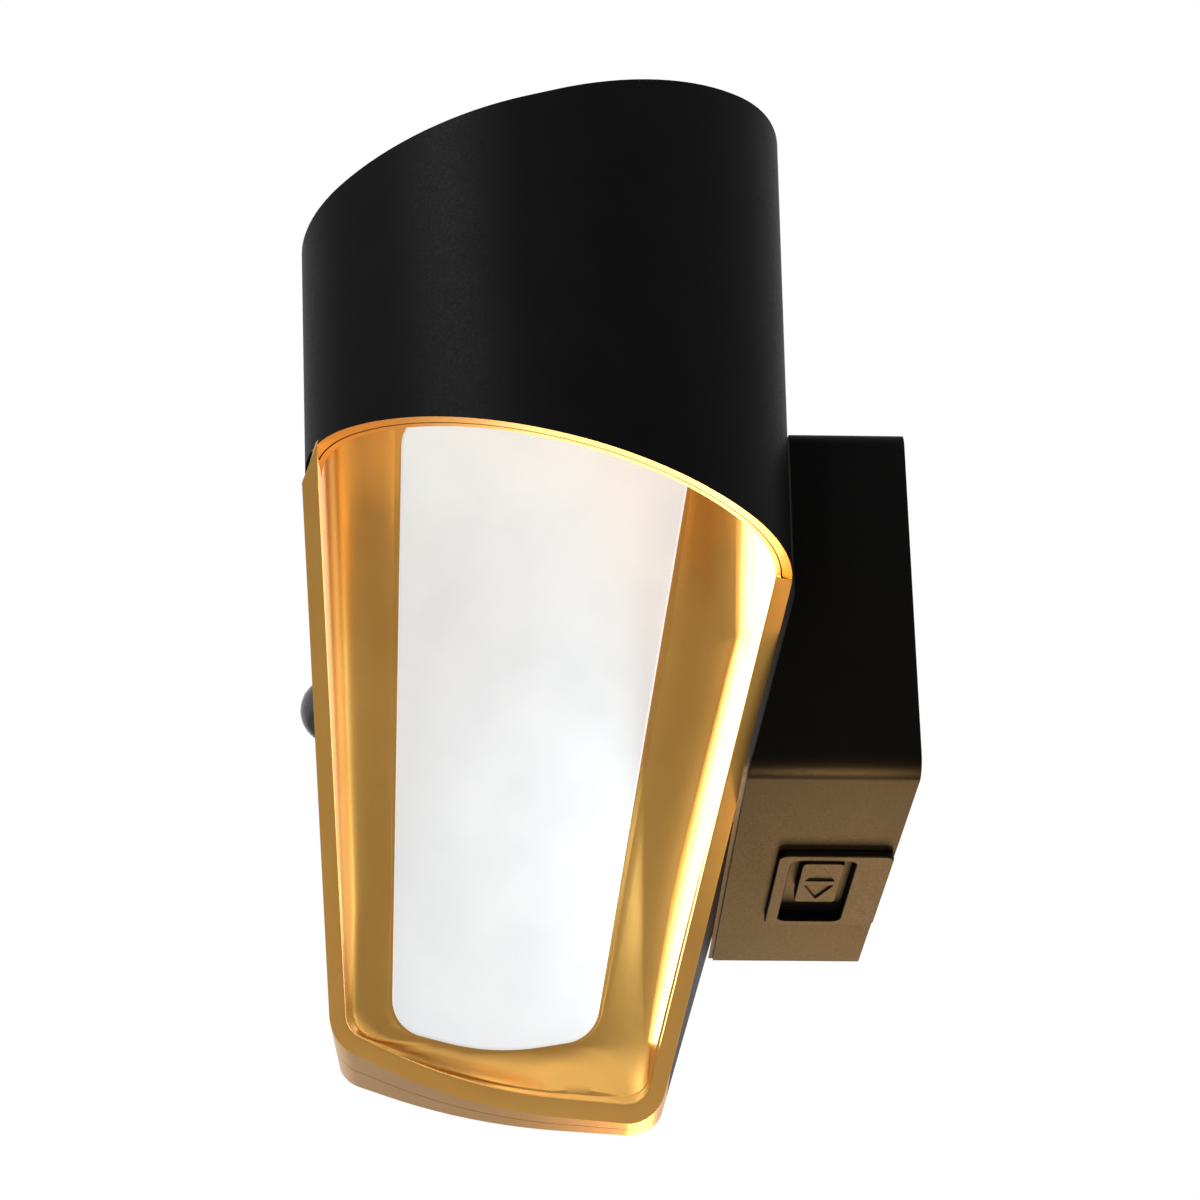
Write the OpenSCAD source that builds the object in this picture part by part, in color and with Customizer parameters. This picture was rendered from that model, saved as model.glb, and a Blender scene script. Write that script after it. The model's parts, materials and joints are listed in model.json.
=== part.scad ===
// Solar wall light: a head with a sloping solar top and two lit side openings, carried by a wall box.
// X runs along the wall, +Y points at the wall and +Z is up.
// The origin lies on the wall, behind the centre of the box.

/* [Wall box] */
// Width of the box along the wall
box_w = 108; // [100:1:116]
// Height of the box
box_h = 70; // [66:1:80]
// Thickness of the box's walls
box_wall = 3; // [2.5:0.5:4]
// Radius of the box's long edges
box_edge_r = 4; // [3:0.5:6]
// Thickness of the plate that closes the box's back
cover_t = 3; // [2.5:0.5:4]
// Thickness of the seal between the box and the head
seal_t = 1; // [0.6:0.2:2]
// Width of the seal's band
seal_band = 6; // [4:0.5:8]

/* [Wall fixing] */
// Distance between the two keyholes
keyhole_pitch = 60; // [50:1:66]
// Height of the keyholes' round ends above the box's centre
keyhole_z = 8; // [2:1:12]
// Diameter of a keyhole's round end, for the screw's head
keyhole_d = 9; // [8:0.5:11]
// Width of a keyhole's slot, for the screw's shank
keyhole_slot = 4.6; // [4:0.2:5.4]
// How far the lamp drops onto its screws
keyhole_drop = 8; // [7:0.5:10]

/* [Head] */
// Distance from the wall to the head's rear face
standoff = 22.5; // [21:0.5:28]
// Depth of the head from front to rear
head_d = 89; // [84:0.5:98]
// Length of the straight stretch of the front and rear faces
flat_l = 115; // [110:1:124]
// How far each end bulges past the straight stretch
bulge = 37; // [34:0.5:40]
// Radius of the ends' corners
corner_r = 32; // [28:0.5:33]
// Thickness of the shell
shell_wall = 1.8; // [1.6:0.1:2.4]
// Height of the sloping top at mid depth
top_z = 81.8; // [78:0.2:90]
// Slope of the top, down to the front
top_slope = 15.9; // [12:0.1:18]
// Height of the sleeve's lower edge at mid depth
sleeve_z = 10.9; // [8:0.1:14]
// Slope of the sleeve's lower edge, up to the front
sleeve_slope = 13; // [10:0.5:14]

/* [Openings] */
// Width of the head along the wall at the height of the sleeve's edge
rim_w = 130.5; // [127:0.5:134]
// Inward lean of the openings, from the sleeve down
rim_lean = 32.5; // [30:0.1:32.8]
// Lean of the front wall below the sleeve
front_lean = 3.5; // [2:0.1:5]
// Lean of the rear wall below the sleeve
rear_lean = 15; // [12:0.1:16]
// Height of the head's front bottom corner
foot_front_z = -72.5; // [-75:0.5:-70]
// Height of the head's lowest edge, between its corners
foot_keel_z = -82.8; // [-84:0.1:-81]
// Distance of that edge behind the front face
foot_keel_y = 31; // [28:0.2:34]
// Height of the head's rear bottom corner
foot_rear_z = -85.5; // [-86.5:0.1:-84]
// Radius of the bottom corners
foot_r = 7; // [5:0.5:9]
// Height of the part of the foot that the linings wrap
foot_cap = 6; // [4:0.5:9]
// Radius of the bottom's sweep
keel_r = 110; // [60:5:110]

/* [Reflectors and diffusers] */
// Depth of a reflector from its rim to its back plate, at the height of the sleeve's edge
tray_depth = 29.1; // [26:0.1:31]
// Lean of the back plates
back_lean = 20; // [18:0.2:21]
// Thickness of a reflector's rim, back plate and ceiling
tray_t = 1; // [0.8:0.1:1.6]
// Height of the ceiling of a lit opening
ceiling_z = 44; // [40:1:48]
// Rise of a reflector's floor to its back plate at the front corner
floor_front_rise = 2.5; // [1.5:0.5:4]
// Rise of a reflector's floor to its back plate in the middle
floor_keel_rise = 8.4; // [7:0.2:10]
// Rise of a reflector's floor to its back plate at the rear corner
floor_rear_rise = 14; // [12:0.5:16]
// How far the rear lining draws in towards its back plate at the top
rear_draft_top = 3.6; // [2:0.2:5]
// How far the rear lining draws in towards its back plate at the bottom
rear_draft_foot = 3; // [1:0.5:4]
// Distance of the diffuser's front edge behind the front face
diffuser_front = 16.7; // [15:0.1:20]
// Distance of the diffuser's upper rear corner before the rear face
diffuser_rear = 15.5; // [14:0.1:18]
// Lean of the diffuser's rear edge
diffuser_lean = 9.2; // [8:0.1:10]
// Place of the diffuser's lowest point, as a share of its width from the front
keel_share = 0.5; // [0.4:0.02:0.6]
// Radius of the diffuser's lower edge, as a share of its width
keel_curve = 1.16; // [0.8:0.02:1.3]
// Height of the diffuser's lower edge above the floor
diffuser_sill = 2; // [1.5:0.5:4]
// Thickness of a diffuser
diffuser_t = 3; // [2.5:0.5:4]
// Height of a diffuser's top edge along its lean, above the sleeve's edge
diffuser_top = 32.5; // [28:0.5:34]
// Radius of a diffuser's corners
diffuser_r = 7; // [4:0.5:9]
// Width of the flange that holds a diffuser behind its back plate
flange_w = 2.5; // [1.5:0.5:3]
// Thickness of that flange
flange_t = 1.2; // [1:0.1:1.6]

/* [Light sources] */
// Distance from a back plate to its board
led_gap = 8; // [7:0.5:9]
// Thickness of the circuit boards
board_t = 1.6; // [1:0.2:2]
// Height of a board's lower edge along its lean
led_low = -58; // [-58:1:-50]
// Height of a board's upper edge along its lean
led_high = 26; // [20:1:28]
// Rows of light sources on a board
led_rows = 6; // [4:1:9]
// Columns of light sources on a board
led_cols = 3; // [2:1:4]
// Side of a light source
led_side = 3.5; // [2.8:0.1:5]
// Height of a light source
led_h = 1.4; // [0.8:0.1:2]
// Diameter of the posts that carry a board
post_d = 5; // [4.6:0.2:6]

/* [Solar top] */
// Width of the panel's frame around the glass
frame_w = 6; // [5.5:0.5:8]
// Lip of the frame over the glass
frame_lip = 2; // [1:0.5:3]
// Thickness of that lip
lip_t = 1.5; // [1:0.25:2]
// Thickness of the glass
glass_t = 2; // [1.5:0.5:3]
// Thickness of the solar cells
cell_t = 0.4; // [0.2:0.1:0.8]
// Thickness of the panel's back sheet
sheet_t = 1.6; // [1:0.2:2.4]
// Thickness of the seal under the panel
gasket_t = 1; // [0.6:0.2:2]
// Thickness of the ledge that carries the panel
ledge_t = 2; // [1.5:0.5:3]
// Width of that ledge
ledge_w = 8; // [7:0.5:10]
// Number of solar cells
cell_count = 8; // [4:1:12]
// Length of a row of solar cells along the wall
cell_row_l = 150; // [120:2:156]
// Depth of a solar cell
cell_d = 54; // [40:1:58]
// Gap between solar cells
cell_gap = 1.6; // [1:0.2:3]

/* [Motion sensor] */
// Radius of the sensor's dome
dome_r = 6.8; // [5:0.2:9]
// How far the dome stands out of the front wall
dome_out = 5.5; // [3:0.5:6.5]
// Height of the dome
dome_z = -0.5; // [-6:0.5:4]
// Thickness of the dome
dome_t = 1; // [0.8:0.1:1.4]
// Thickness of the dome's flange
lens_flange_t = 1; // [0.8:0.1:1.4]
// Width of the dome's flange
lens_flange_w = 2; // [1.5:0.25:3]
// Diameter of the sensor's can
can_d = 8.2; // [7:0.2:9]
// Height of the sensor's can
can_h = 4; // [3:0.5:5]
// Width of the control board
control_w = 28; // [26:1:29]
// Length of the control board below the sensor
control_low = 14; // [13:0.5:14.5]
// Length of the control board above the sensor
control_high = 38; // [30:1:42]
// Distance of the control board behind the outside of the front wall
control_y = 13; // [11:0.5:15]

/* [Battery] */
// Diameter of the battery
cell_dia = 18.4; // [14:0.2:18.6]
// Length of the battery
cell_len = 65; // [48:1:70]
// Height of the battery
battery_z = 58; // [56:0.5:60]
// Thickness of the holder's walls
holder_wall = 1.6; // [1.2:0.2:2.4]
// Height of the bosses under the holder
holder_boss = 4; // [3.6:0.2:5]
// Share of the cell's diameter that its holder takes in
holder_share = 0.6; // [0.5:0.05:0.7]
// Thickness of the contacts
contact_t = 0.8; // [0.5:0.1:1]
// Side of the contacts
contact_side = 11; // [8:0.5:12]

/* [Switch] */
// Place of the switch along the wall
switch_x = -4; // [-6:0.5:2]
// Length of the switch plate
plate_l = 39; // [36:1:42]
// Depth of the switch plate
plate_d = 22; // [18:0.5:22.5]
// How far the plate stands below the box
plate_t = 1.5; // [1:0.25:2]
// Length of the slider's pocket
pocket_l = 34; // [31:0.5:35]
// Depth of the slider's pocket
pocket_d = 12.5; // [11:0.5:14]
// Length of the slider's knob
knob_l = 21; // [18:0.5:22]
// Depth of the slider's knob
knob_d = 8; // [6:0.5:9]
// How far the slider travels
slide_travel = 12; // [8:0.5:12]
// Width of the slider's stem
stem_w = 3; // [2:0.5:4]
// Height of the switch's body
switch_h = 8; // [6:0.5:10]
// Distance of the pocket from the plate's middle, away from the wall
pocket_off = 2.2; // [1:0.2:2.4]
// Wall of the pocket's tub
tub_t = 1.2; // [1:0.1:1.6]
// Radius of the plate's and the pocket's corners
plate_r = 2; // [1:0.25:3]
// Height of the knob
knob_h = 2.6; // [2:0.1:3]
// Height of the knob above the plate
knob_proud = 0.4; // [0:0.1:0.8]
// Radius of the knob's corners
knob_r = 1; // [0.6:0.1:1.5]
// Half of the width of the knob's cross ridge
ridge_w = 1.2; // [0.8:0.1:1.6]
// Length of the facets beside the ridge
facet_l = 7.4; // [6:0.2:8]
// Half of the width of the facets
facet_w = 2.8; // [2:0.1:3]

/* [Fits and fasteners] */
// Clearance between fixed pieces that fit into one another
fit_gap = 0.25; // [0.2:0.05:0.35]
// Clearance around the slider
slide_gap = 0.4; // [0.3:0.05:0.6]
// Diameter of the screws
screw_d = 2.6; // [2.2:0.1:3]
// Clearance around a screw's shank
screw_gap = 0.1; // [0.05:0.05:0.2]
// Diameter of the screws' heads
screw_head_d = 5; // [4.4:0.2:5.6]
// Height of the screws' heads
screw_head_h = 1.6; // [1.2:0.1:2.2]
// Depth that a screw reaches into its boss
screw_bite = 5; // [4:0.5:6]
// Length of the cross recess in a screw's head
recess_l = 3; // [2:0.2:3.6]
// Width of the cross recess
recess_w = 0.8; // [0.6:0.1:1]
// Diameter of the screw bosses
boss_d = 6.4; // [6:0.2:7]
// Distance between the screws that hold the head, along the wall
head_screw_pitch = 32; // [28:1:36]
// Diameter of the passage for the wires
wire_d = 9; // [6:0.5:12]

/* [Hidden] */
$fn = 64;

// Reach of the half spaces and through cuts
far = 400;
// Steps of a rounded corner
arc_steps = 10;
// Steps of each arc of the head's plan
plan_steps = 16;
// Least radius of a corner, and the overlap of pieces that are joined into one
least_r = 0.4;

// Planes of the head
y_rear = -standoff;
y_front = -standoff - head_d;
y_mid = (y_rear + y_front) / 2;
sleeve_front_z = sleeve_z + head_d / 2 * tan(sleeve_slope);
// The rear wall starts to lean just below the sleeve's edge
bend_rear_z = sleeve_z - head_d / 2 * tan(sleeve_slope) - least_r;
// Plan of the head where its front starts to lean out, below the sleeve's edge
column_low = bend_rear_z - boss_d;
plan_d = head_d - (sleeve_front_z - column_low) * tan(front_lean);
plan_mid = y_rear - plan_d / 2;
end_r = (bulge * bulge + pow(plan_d / 2 - corner_r, 2) - corner_r * corner_r) / (2 * (bulge - corner_r));
end_angle = atan2(plan_d / 2 - corner_r, end_r - bulge);
function front_face_y(z) = y_front + (sleeve_front_z - z) * tan(front_lean);
function rear_face_y(z) = y_rear - max(0, bend_rear_z - z) * tan(rear_lean);
function top_at(y) = top_z + (y - y_mid) * tan(top_slope);
// Where the leaning front meets the sloping top
lean_by_slope = tan(front_lean) * tan(top_slope);
top_front_y = (front_face_y(top_z) + y_mid * lean_by_slope) / (1 + lean_by_slope);
top_front_z = top_at(top_front_y);

// Depths below the sloping top, measured straight down
glass_top = lip_t;
cells_top = glass_top + glass_t;
sheet_top = cells_top + cell_t;
gasket_top = sheet_top + sheet_t;
ledge_top = gasket_top + gasket_t;
ledge_bottom = ledge_top + ledge_t;
frame_in = shell_wall + fit_gap;
panel_in = frame_in + frame_w;
// A panel screw's head clears the shell's wall, and its tip, which leans to the front, the frame's edges
frame_screw_in = shell_wall + screw_head_d / 2 + fit_gap;
panel_screw_l = screw_bite + ledge_t;
panel_screw_run = panel_screw_l * sin(top_slope);

// Linings of the openings
tray_in = shell_wall + fit_gap;
lining_in = tray_in + tray_t;
back_x = -tray_t;
led_board_x = back_x - led_gap;

// Bosses and screw places
control_screw_x = control_w / 2 - boss_d / 2;
control_screw_z = [boss_d / 2 - control_low, control_high - boss_d / 2];
head_screw_x = head_screw_pitch / 2;
head_screw_z = [bend_rear_z + boss_d, box_h / 2 - box_wall - boss_d];
wire_z = (head_screw_z[0] + head_screw_z[1]) / 2;
cover_screw_x = box_w / 2 - box_wall - boss_d / 2;
cover_screw_z = box_h / 2 - box_wall - boss_d / 2;
cover_seat_y = -screw_head_h - screw_gap;
hole_d = screw_d + 2 * screw_gap;

// Battery and its holder, on bosses behind the upper rear wall
holder_y = y_rear - shell_wall - holder_boss;
battery_y = holder_y - holder_wall - fit_gap - cell_dia / 2;
holder_len = cell_len + 2 * contact_t + 2 * fit_gap + 2 * holder_wall;
holder_reach = holder_wall + fit_gap + cell_dia * holder_share;
holder_screw_z = cell_dia / 2 + holder_wall + boss_d / 2;
holder_screw_x = cell_len / 2 - boss_d;

// Switch: a plate with a tub in the box's underside, a slider in the tub and a body above it
plate_z = -box_h / 2 - plate_t;
plate_y = -plate_d / 2 - fit_gap;
pocket_y = plate_y - pocket_off;
knob_z = plate_z - knob_proud;
tub_floor_z = knob_z + knob_h + slide_gap;
tub_top_z = tub_floor_z + tub_t;
tub_room = 2 * (tub_t + fit_gap);
knob_x = switch_x + (pocket_l - knob_l) / 2 - slide_gap;
slot_x = knob_x - slide_travel / 2;
slot_l = stem_w + slide_travel + 2 * slide_gap;
stem_h = tub_t + slide_gap + switch_h / 2;
body_l = slot_l + 2 * tub_t + boss_d;
body_d = knob_d;

function unit(v) = v / norm(v);

// Points of the arc of radius r that rounds the corner q between p and s
function corner(p, q, s, r) =
    r <= 0 ? [q] :
    let (
        a = unit(p - q),
        b = unit(s - q),
        half = acos(a * b) / 2,
        centre = q + unit(a + b) * r / sin(half),
        start = q + a * r / tan(half) - centre,
        turn = sign(cross(q - p, s - q)) * (180 - 2 * half),
        from = atan2(start.y, start.x)
    )
    [for (i = [0 : arc_steps]) let (at = from + turn * i / arc_steps) centre + r * [cos(at), sin(at)]];

// A closed outline with a radius at each corner
function rounded(points, radii) = let (n = len(points)) [
    for (i = [0 : n - 1])
        each corner(points[(i + n - 1) % n], points[i], points[(i + 1) % n], radii[i])
];

// A convex outline moved in by t
function moved_in(points, t) = let (n = len(points)) [
    for (i = [0 : n - 1])
        let (
            a = unit(points[(i + n - 1) % n] - points[i]),
            b = unit(points[(i + 1) % n] - points[i]),
            half = acos(a * b) / 2
        )
        points[i] + unit(a + b) * t / sin(half)
];

// Side outline of the head, with its top raised by rise and its walls moved in by t
function side_points(rise) = [
    [front_face_y(foot_front_z), foot_front_z],
    [y_front + foot_keel_y, foot_keel_z],
    [rear_face_y(foot_rear_z), foot_rear_z],
    [y_rear, bend_rear_z],
    [y_rear, top_at(y_rear) + rise],
    [front_face_y(top_front_z + rise), top_front_z + rise]
];
function side_radii(t) = [max(foot_r - t, least_r), keel_r - t, max(foot_r - t, least_r), 0, 0, 0];
function side_outline(t, rise = 0) = rounded(moved_in(side_points(rise), t), side_radii(t));

// A quarter of the head's plan, set in by t: from its flat side round a corner to its widest point
function quarter_plan(t) = concat(
    [for (i = [0 : plan_steps]) let (at = 90 + (end_angle - 90) * i / plan_steps)
        [flat_l / 2, plan_d / 2 - corner_r] + (corner_r - t) * [cos(at), sin(at)]],
    [for (i = [1 : plan_steps]) let (at = end_angle * (1 - i / plan_steps))
        [flat_l / 2 + bulge - end_r, 0] + (end_r - t) * [cos(at), sin(at)]]
);

// Half of that plan, at the rear (side 1) or the front (side -1), with straight sides over reach behind it
function half_plan(t, side, reach = 0) =
    let (quarter = quarter_plan(t), n = len(quarter), half_w = flat_l / 2 + bulge - t)
    concat(
        [for (p = quarter) [p.x, side * p.y]],
        reach > 0 ? [[half_w, reach], [-half_w, reach]] : [],
        [for (i = [1 : n]) [-quarter[n - i].x, side * quarter[n - i].y]]
    );

// Heights along the lean of a back plate
function back_s(z) = (z - sleeve_z) / cos(back_lean);
back_front_z = foot_front_z + floor_front_rise;
back_keel_z = foot_keel_z + floor_keel_rise;
back_rear_z = foot_rear_z + floor_rear_rise;
back_top_z = ceiling_z + tray_depth;
back_points = [
    [front_face_y(back_front_z) + lining_in, back_s(back_front_z)],
    [y_front + foot_keel_y, back_s(back_keel_z)],
    [rear_face_y(back_rear_z) - lining_in - rear_draft_foot, back_s(back_rear_z)],
    [y_rear - lining_in - rear_draft_top, back_s(bend_rear_z)],
    [y_rear - lining_in - rear_draft_top, back_s(back_top_z)],
    [front_face_y(back_top_z) + lining_in, back_s(back_top_z)]
];
back_radii = [foot_r, keel_r / 2, foot_r, 0, 0, 0];

// Outline of a diffuser, grown by out
diffuser_y0 = y_front + diffuser_front;
function diffuser_y1(s) = y_rear - diffuser_rear - (diffuser_top - s) * tan(diffuser_lean);
diffuser_foot = back_s(back_rear_z) + diffuser_sill;
diffuser_w = diffuser_y1(diffuser_foot) - diffuser_y0;
diffuser_points = [
    [diffuser_y0, back_s(back_front_z) + diffuser_sill],
    [diffuser_y0 + diffuser_w * keel_share, back_s(back_keel_z) + diffuser_sill],
    [diffuser_y1(diffuser_foot), diffuser_foot],
    [diffuser_y1(diffuser_top), diffuser_top],
    [diffuser_y0, diffuser_top]
];
diffuser_radii = [diffuser_r, diffuser_w * keel_curve, diffuser_r, diffuser_r, diffuser_r];
function diffuser_outline(out) =
    rounded(moved_in(diffuser_points, -out), [for (r = diffuser_radii) max(r + out, least_r)]);

// Posts beside the diffuser, and the board that they carry
post_out = flange_w + fit_gap + post_d / 2;
post_edge = post_d / 2 + fit_gap;
post_places = [
    for (s = [led_low + post_edge, led_high - post_edge])
        each [[diffuser_y0 - post_out, s], [diffuser_y1(s) + post_out, s]]
];
board_points = [
    [diffuser_y0 - post_out - post_edge, led_low],
    [diffuser_y1(led_low) + post_out + post_edge, led_low],
    [diffuser_y1(led_high) + post_out + post_edge, led_high],
    [diffuser_y0 - post_out - post_edge, led_high]
];

// Extrudes an outline in Y and Z along X, centred
module along_x(length) {
    rotate([90, 0, 90]) linear_extrude(length, center = true) children();
}

// A bar along Y between two faces
module bar_y(x, z, y0, y1, d) {
    translate([x, y1, z]) rotate([90, 0, 0]) cylinder(h = y1 - y0, d = d);
}

// Places children in the plane of the right opening, with x pointing out of it
module in_opening() {
    translate([rim_w / 2, 0, sleeve_z]) rotate([0, rim_lean, 0]) children();
}

// Places children on the right back plate's face, with x pointing out of it
module on_back() {
    translate([rim_w / 2 - tray_depth, 0, sleeve_z]) rotate([0, back_lean, 0]) children();
}

// Children on the left side of the lamp
module on_left() {
    mirror([1, 0, 0]) children();
}

// An outline in Y and Z as a slab between two places along X
module slab_x(x0, x1, points) {
    translate([x0, 0, 0]) rotate([90, 0, 90]) linear_extrude(x1 - x0) polygon(points);
}

// The head's plan, set in by t, as a tall column with an upright rear and a leaning front
module head_column(t) {
    lean = tan(front_lean);
    translate([0, plan_mid, column_low]) {
        linear_extrude(far) polygon(half_plan(t, 1));
        intersection() {
            multmatrix([[1, 0, 0, 0], [0, 1, -lean, 0], [0, 0, 1, 0], [0, 0, 0, 1]])
                linear_extrude(far) polygon(half_plan(t, -1, far * lean));
            translate([-far, -2 * far, -far]) cube(2 * far);
        }
    }
}

// Everything above the sleeve's lower edge
module above_sleeve() {
    slope = tan(sleeve_slope);
    along_x(2 * far) translate([y_mid, sleeve_z])
        polygon([[-far, far * slope], [far, -far * slope], [far, far], [-far, far]]);
}

// Everything below the sleeve's lower edge
module below_sleeve() {
    slope = tan(sleeve_slope);
    along_x(2 * far) translate([y_mid, sleeve_z])
        polygon([[-far, -far], [far, -far], [far, -far * slope], [-far, far * slope]]);
}

// A layer parallel to the sloping top, between two depths below it
module top_layer(depth0, depth1) {
    slope = tan(top_slope);
    along_x(2 * far) translate([y_mid, top_z]) polygon([
        [-far, -far * slope - depth1], [far, far * slope - depth1],
        [far, far * slope - depth0], [-far, -far * slope - depth0]
    ]);
}

// A layer of the solar top with its outline set in by t
module panel_layer(depth0, depth1, t) {
    intersection() {
        top_layer(depth0, depth1);
        head_column(t);
    }
}

// The wedge between the two openings, narrowed by t on each side
module rim_wedge(t) {
    slope = tan(rim_lean);
    half = rim_w / 2 - t / cos(rim_lean);
    low = foot_rear_z - sleeve_z;
    high = sleeve_front_z + shell_wall - sleeve_z;
    translate([0, far, sleeve_z]) rotate([90, 0, 0]) linear_extrude(2 * far) polygon([
        [-half - low * slope, low], [half + low * slope, low],
        [half + high * slope, high], [-half - high * slope, high]
    ]);
}

// The foot that the linings wrap, and out above it
module below_foot(out) {
    along_x(2 * far) polygon([
        [y_front, -far], [y_rear, -far],
        [y_rear, foot_rear_z + foot_cap + out], [y_front, foot_front_z + foot_cap + out]
    ]);
}

// The head's side walls moved in by t, over its whole width
module side_walls(t, rise = 0) {
    along_x(2 * far) polygon(side_outline(t, rise));
}

// A screw with its head's seat at the origin and its shank along -Z
module screw(length) {
    difference() {
        union() {
            translate([0, 0, -length]) cylinder(h = length, d = screw_d);
            cylinder(h = screw_head_h, d = screw_head_d);
        }
        for (turn = [0, 90]) rotate([0, 0, turn]) translate([0, 0, screw_head_h])
            cube([recess_l, recess_w, screw_head_h], center = true);
    }
}

// The box's outline, set in by t, between two faces along Y
module box_slab(t, y0, y1) {
    r = max(box_edge_r - t, least_r);
    w = box_w / 2 - t;
    h = box_h / 2 - t;
    translate([0, y1, 0]) rotate([90, 0, 0]) linear_extrude(y1 - y0)
        polygon(rounded([[-w, -h], [w, -h], [w, h], [-w, h]], [r, r, r, r]));
}

// Everything on the head's side of a face that lies out from its rear walls
module head_side(out) {
    bend = bend_rear_z - out * tan(rear_lean / 2);
    along_x(2 * far) polygon([
        [y_rear + out, bend], [y_rear + out, far], [-far, far], [-far, -far],
        [y_rear + out - (bend + far) * tan(rear_lean), -far]
    ]);
}

// Places at the four corners of a rectangle in X and Z
module four_corners(x, z) {
    for (sx = [-1, 1]) for (sz = [-1, 1]) translate([sx * x, 0, sz * z]) children();
}

// The sensor's place on the leaning front wall, with y pointing into the head
module at_sensor() {
    translate([0, front_face_y(dome_z), dome_z]) rotate([front_lean, 0, 0]) children();
}

module control_screw_places() {
    at_sensor() for (x = [-control_screw_x, control_screw_x]) for (z = control_screw_z)
        translate([x, 0, z]) children();
}

module panel_screw_places() {
    front_y = front_face_y(top_front_z - ledge_bottom) + frame_screw_in + panel_screw_run;
    for (x = [-flat_l / 2, flat_l / 2]) for (y = [y_rear - frame_screw_in, front_y])
        translate([x, y, top_at(y) - ledge_bottom]) rotate([180 + top_slope, 0, 0]) children();
}

module head_screw_places() {
    for (x = [-head_screw_x, head_screw_x]) for (z = head_screw_z) translate([x, 0, z]) children();
}

module holder_screw_places() {
    translate([0, 0, battery_z]) four_corners(holder_screw_x, holder_screw_z) children();
}

// Bosses inside the shell
module shell_bosses() {
    control_screw_places() bar_y(0, 0, 0, control_y, boss_d);
    head_screw_places() bar_y(0, 0, y_rear - shell_wall - screw_bite, y_rear, boss_d);
    holder_screw_places() bar_y(0, 0, holder_y, y_rear, boss_d);
}

// Holes in the shell for the dome, the wires and the screws
module shell_holes() {
    at_sensor() bar_y(0, 0, -far, shell_wall + least_r, 2 * (dome_r + fit_gap));
    control_screw_places()
        bar_y(0, 0, control_y - screw_bite - screw_gap, control_y + least_r, hole_d);
    head_screw_places() bar_y(0, 0, y_rear - screw_bite - screw_gap, y_rear + least_r, hole_d);
    holder_screw_places() bar_y(0, 0, holder_y - least_r, holder_y + screw_bite, hole_d);
    bar_y(0, wire_z, y_rear - shell_wall - least_r, y_rear + least_r, wire_d);
    panel_screw_places() translate([0, 0, -2 * ledge_t]) cylinder(h = 3 * ledge_t, d = hole_d);
}

module outer_shell() {
    color("#141416") difference() {
        union() {
            difference() {
                intersection() {
                    side_walls(0);
                    union() {
                        intersection() {
                            head_column(0);
                            above_sleeve();
                        }
                        intersection() {
                            rim_wedge(tray_t);
                            below_sleeve();
                        }
                    }
                }
                intersection() {
                    side_walls(shell_wall, far);
                    union() {
                        head_column(shell_wall);
                        below_sleeve();
                    }
                }
            }
            difference() {
                panel_layer(ledge_top, ledge_bottom, shell_wall - least_r);
                head_column(shell_wall + ledge_w);
            }
            intersection() {
                side_walls(least_r);
                shell_bosses();
            }
        }
        shell_holes();
        below_foot(fit_gap);
    }
}

module panel_frame() {
    color("#1b1b1d") difference() {
        panel_layer(0, ledge_top, frame_in);
        head_column(panel_in + frame_lip);
        panel_layer(glass_top, ledge_top + least_r, panel_in);
        panel_screw_places() translate([0, 0, -panel_screw_l - screw_gap])
            cylinder(h = panel_screw_l, d = hole_d);
    }
}

module solar_glass() {
    color("#20304a", 0.4) panel_layer(glass_top, cells_top, panel_in + fit_gap);
}

module solar_cells() {
    pitch = (cell_row_l + cell_gap) / cell_count;
    color("#101c3a") intersection() {
        top_layer(cells_top, sheet_top);
        for (i = [0 : cell_count - 1])
            translate([(i - (cell_count - 1) / 2) * pitch, y_mid, 0])
                cube([pitch - cell_gap, cell_d, 2 * far], center = true);
    }
}

module solar_back_sheet() {
    color("#e8e8e6") panel_layer(sheet_top, gasket_top, panel_in + fit_gap);
}

module panel_gasket() {
    color("#303030") difference() {
        panel_layer(gasket_top, ledge_top, panel_in + fit_gap);
        head_column(shell_wall + ledge_w);
    }
}

module panel_screws() {
    color("#9a9a98") panel_screw_places() screw(panel_screw_l);
}

// The hollow of the right opening, from its rim to its back plate
module tray_hollow() {
    intersection() {
        union() {
            hull() {
                intersection() {
                    side_walls(lining_in, far);
                    in_opening() translate([0, -far, -far]) cube([least_r, 2 * far, 2 * far]);
                    translate([-far, -far, back_top_z - 2 * far]) cube(2 * far);
                }
                on_back() slab_x(0, least_r / 4, rounded(back_points, back_radii));
            }
            in_opening() translate([least_r / 2, -far, -far]) cube(2 * far);
        }
        union() {
            head_column(lining_in);
            below_sleeve();
        }
        translate([-far, -far, ceiling_z - 2 * far]) cube(2 * far);
    }
}

// The right reflector's outside: its linings, the space behind its floor, its lip and its half of the foot
module tray_solid() {
    intersection() {
        union() {
            intersection() {
                side_walls(tray_in, far);
                union() {
                    intersection() {
                        head_column(tray_in);
                        above_sleeve();
                    }
                    intersection() {
                        rim_wedge(0);
                        below_sleeve();
                    }
                }
                on_back() translate([back_x, -far, -far]) cube(2 * far);
            }
            intersection() {
                side_walls(0);
                rim_wedge(0);
                below_sleeve();
                union() {
                    below_foot(0);
                    in_opening() translate([-tray_t, -far, -far]) cube(2 * far);
                }
            }
        }
        translate([fit_gap / 2, -far, ceiling_z + tray_t - 2 * far]) cube(2 * far);
    }
}

// Screw holes, or shanks, at the posts of the right board
module at_posts(x) {
    on_back() for (p = post_places) translate([x, p.x, p.y]) rotate([0, 90, 0]) children();
}

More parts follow.
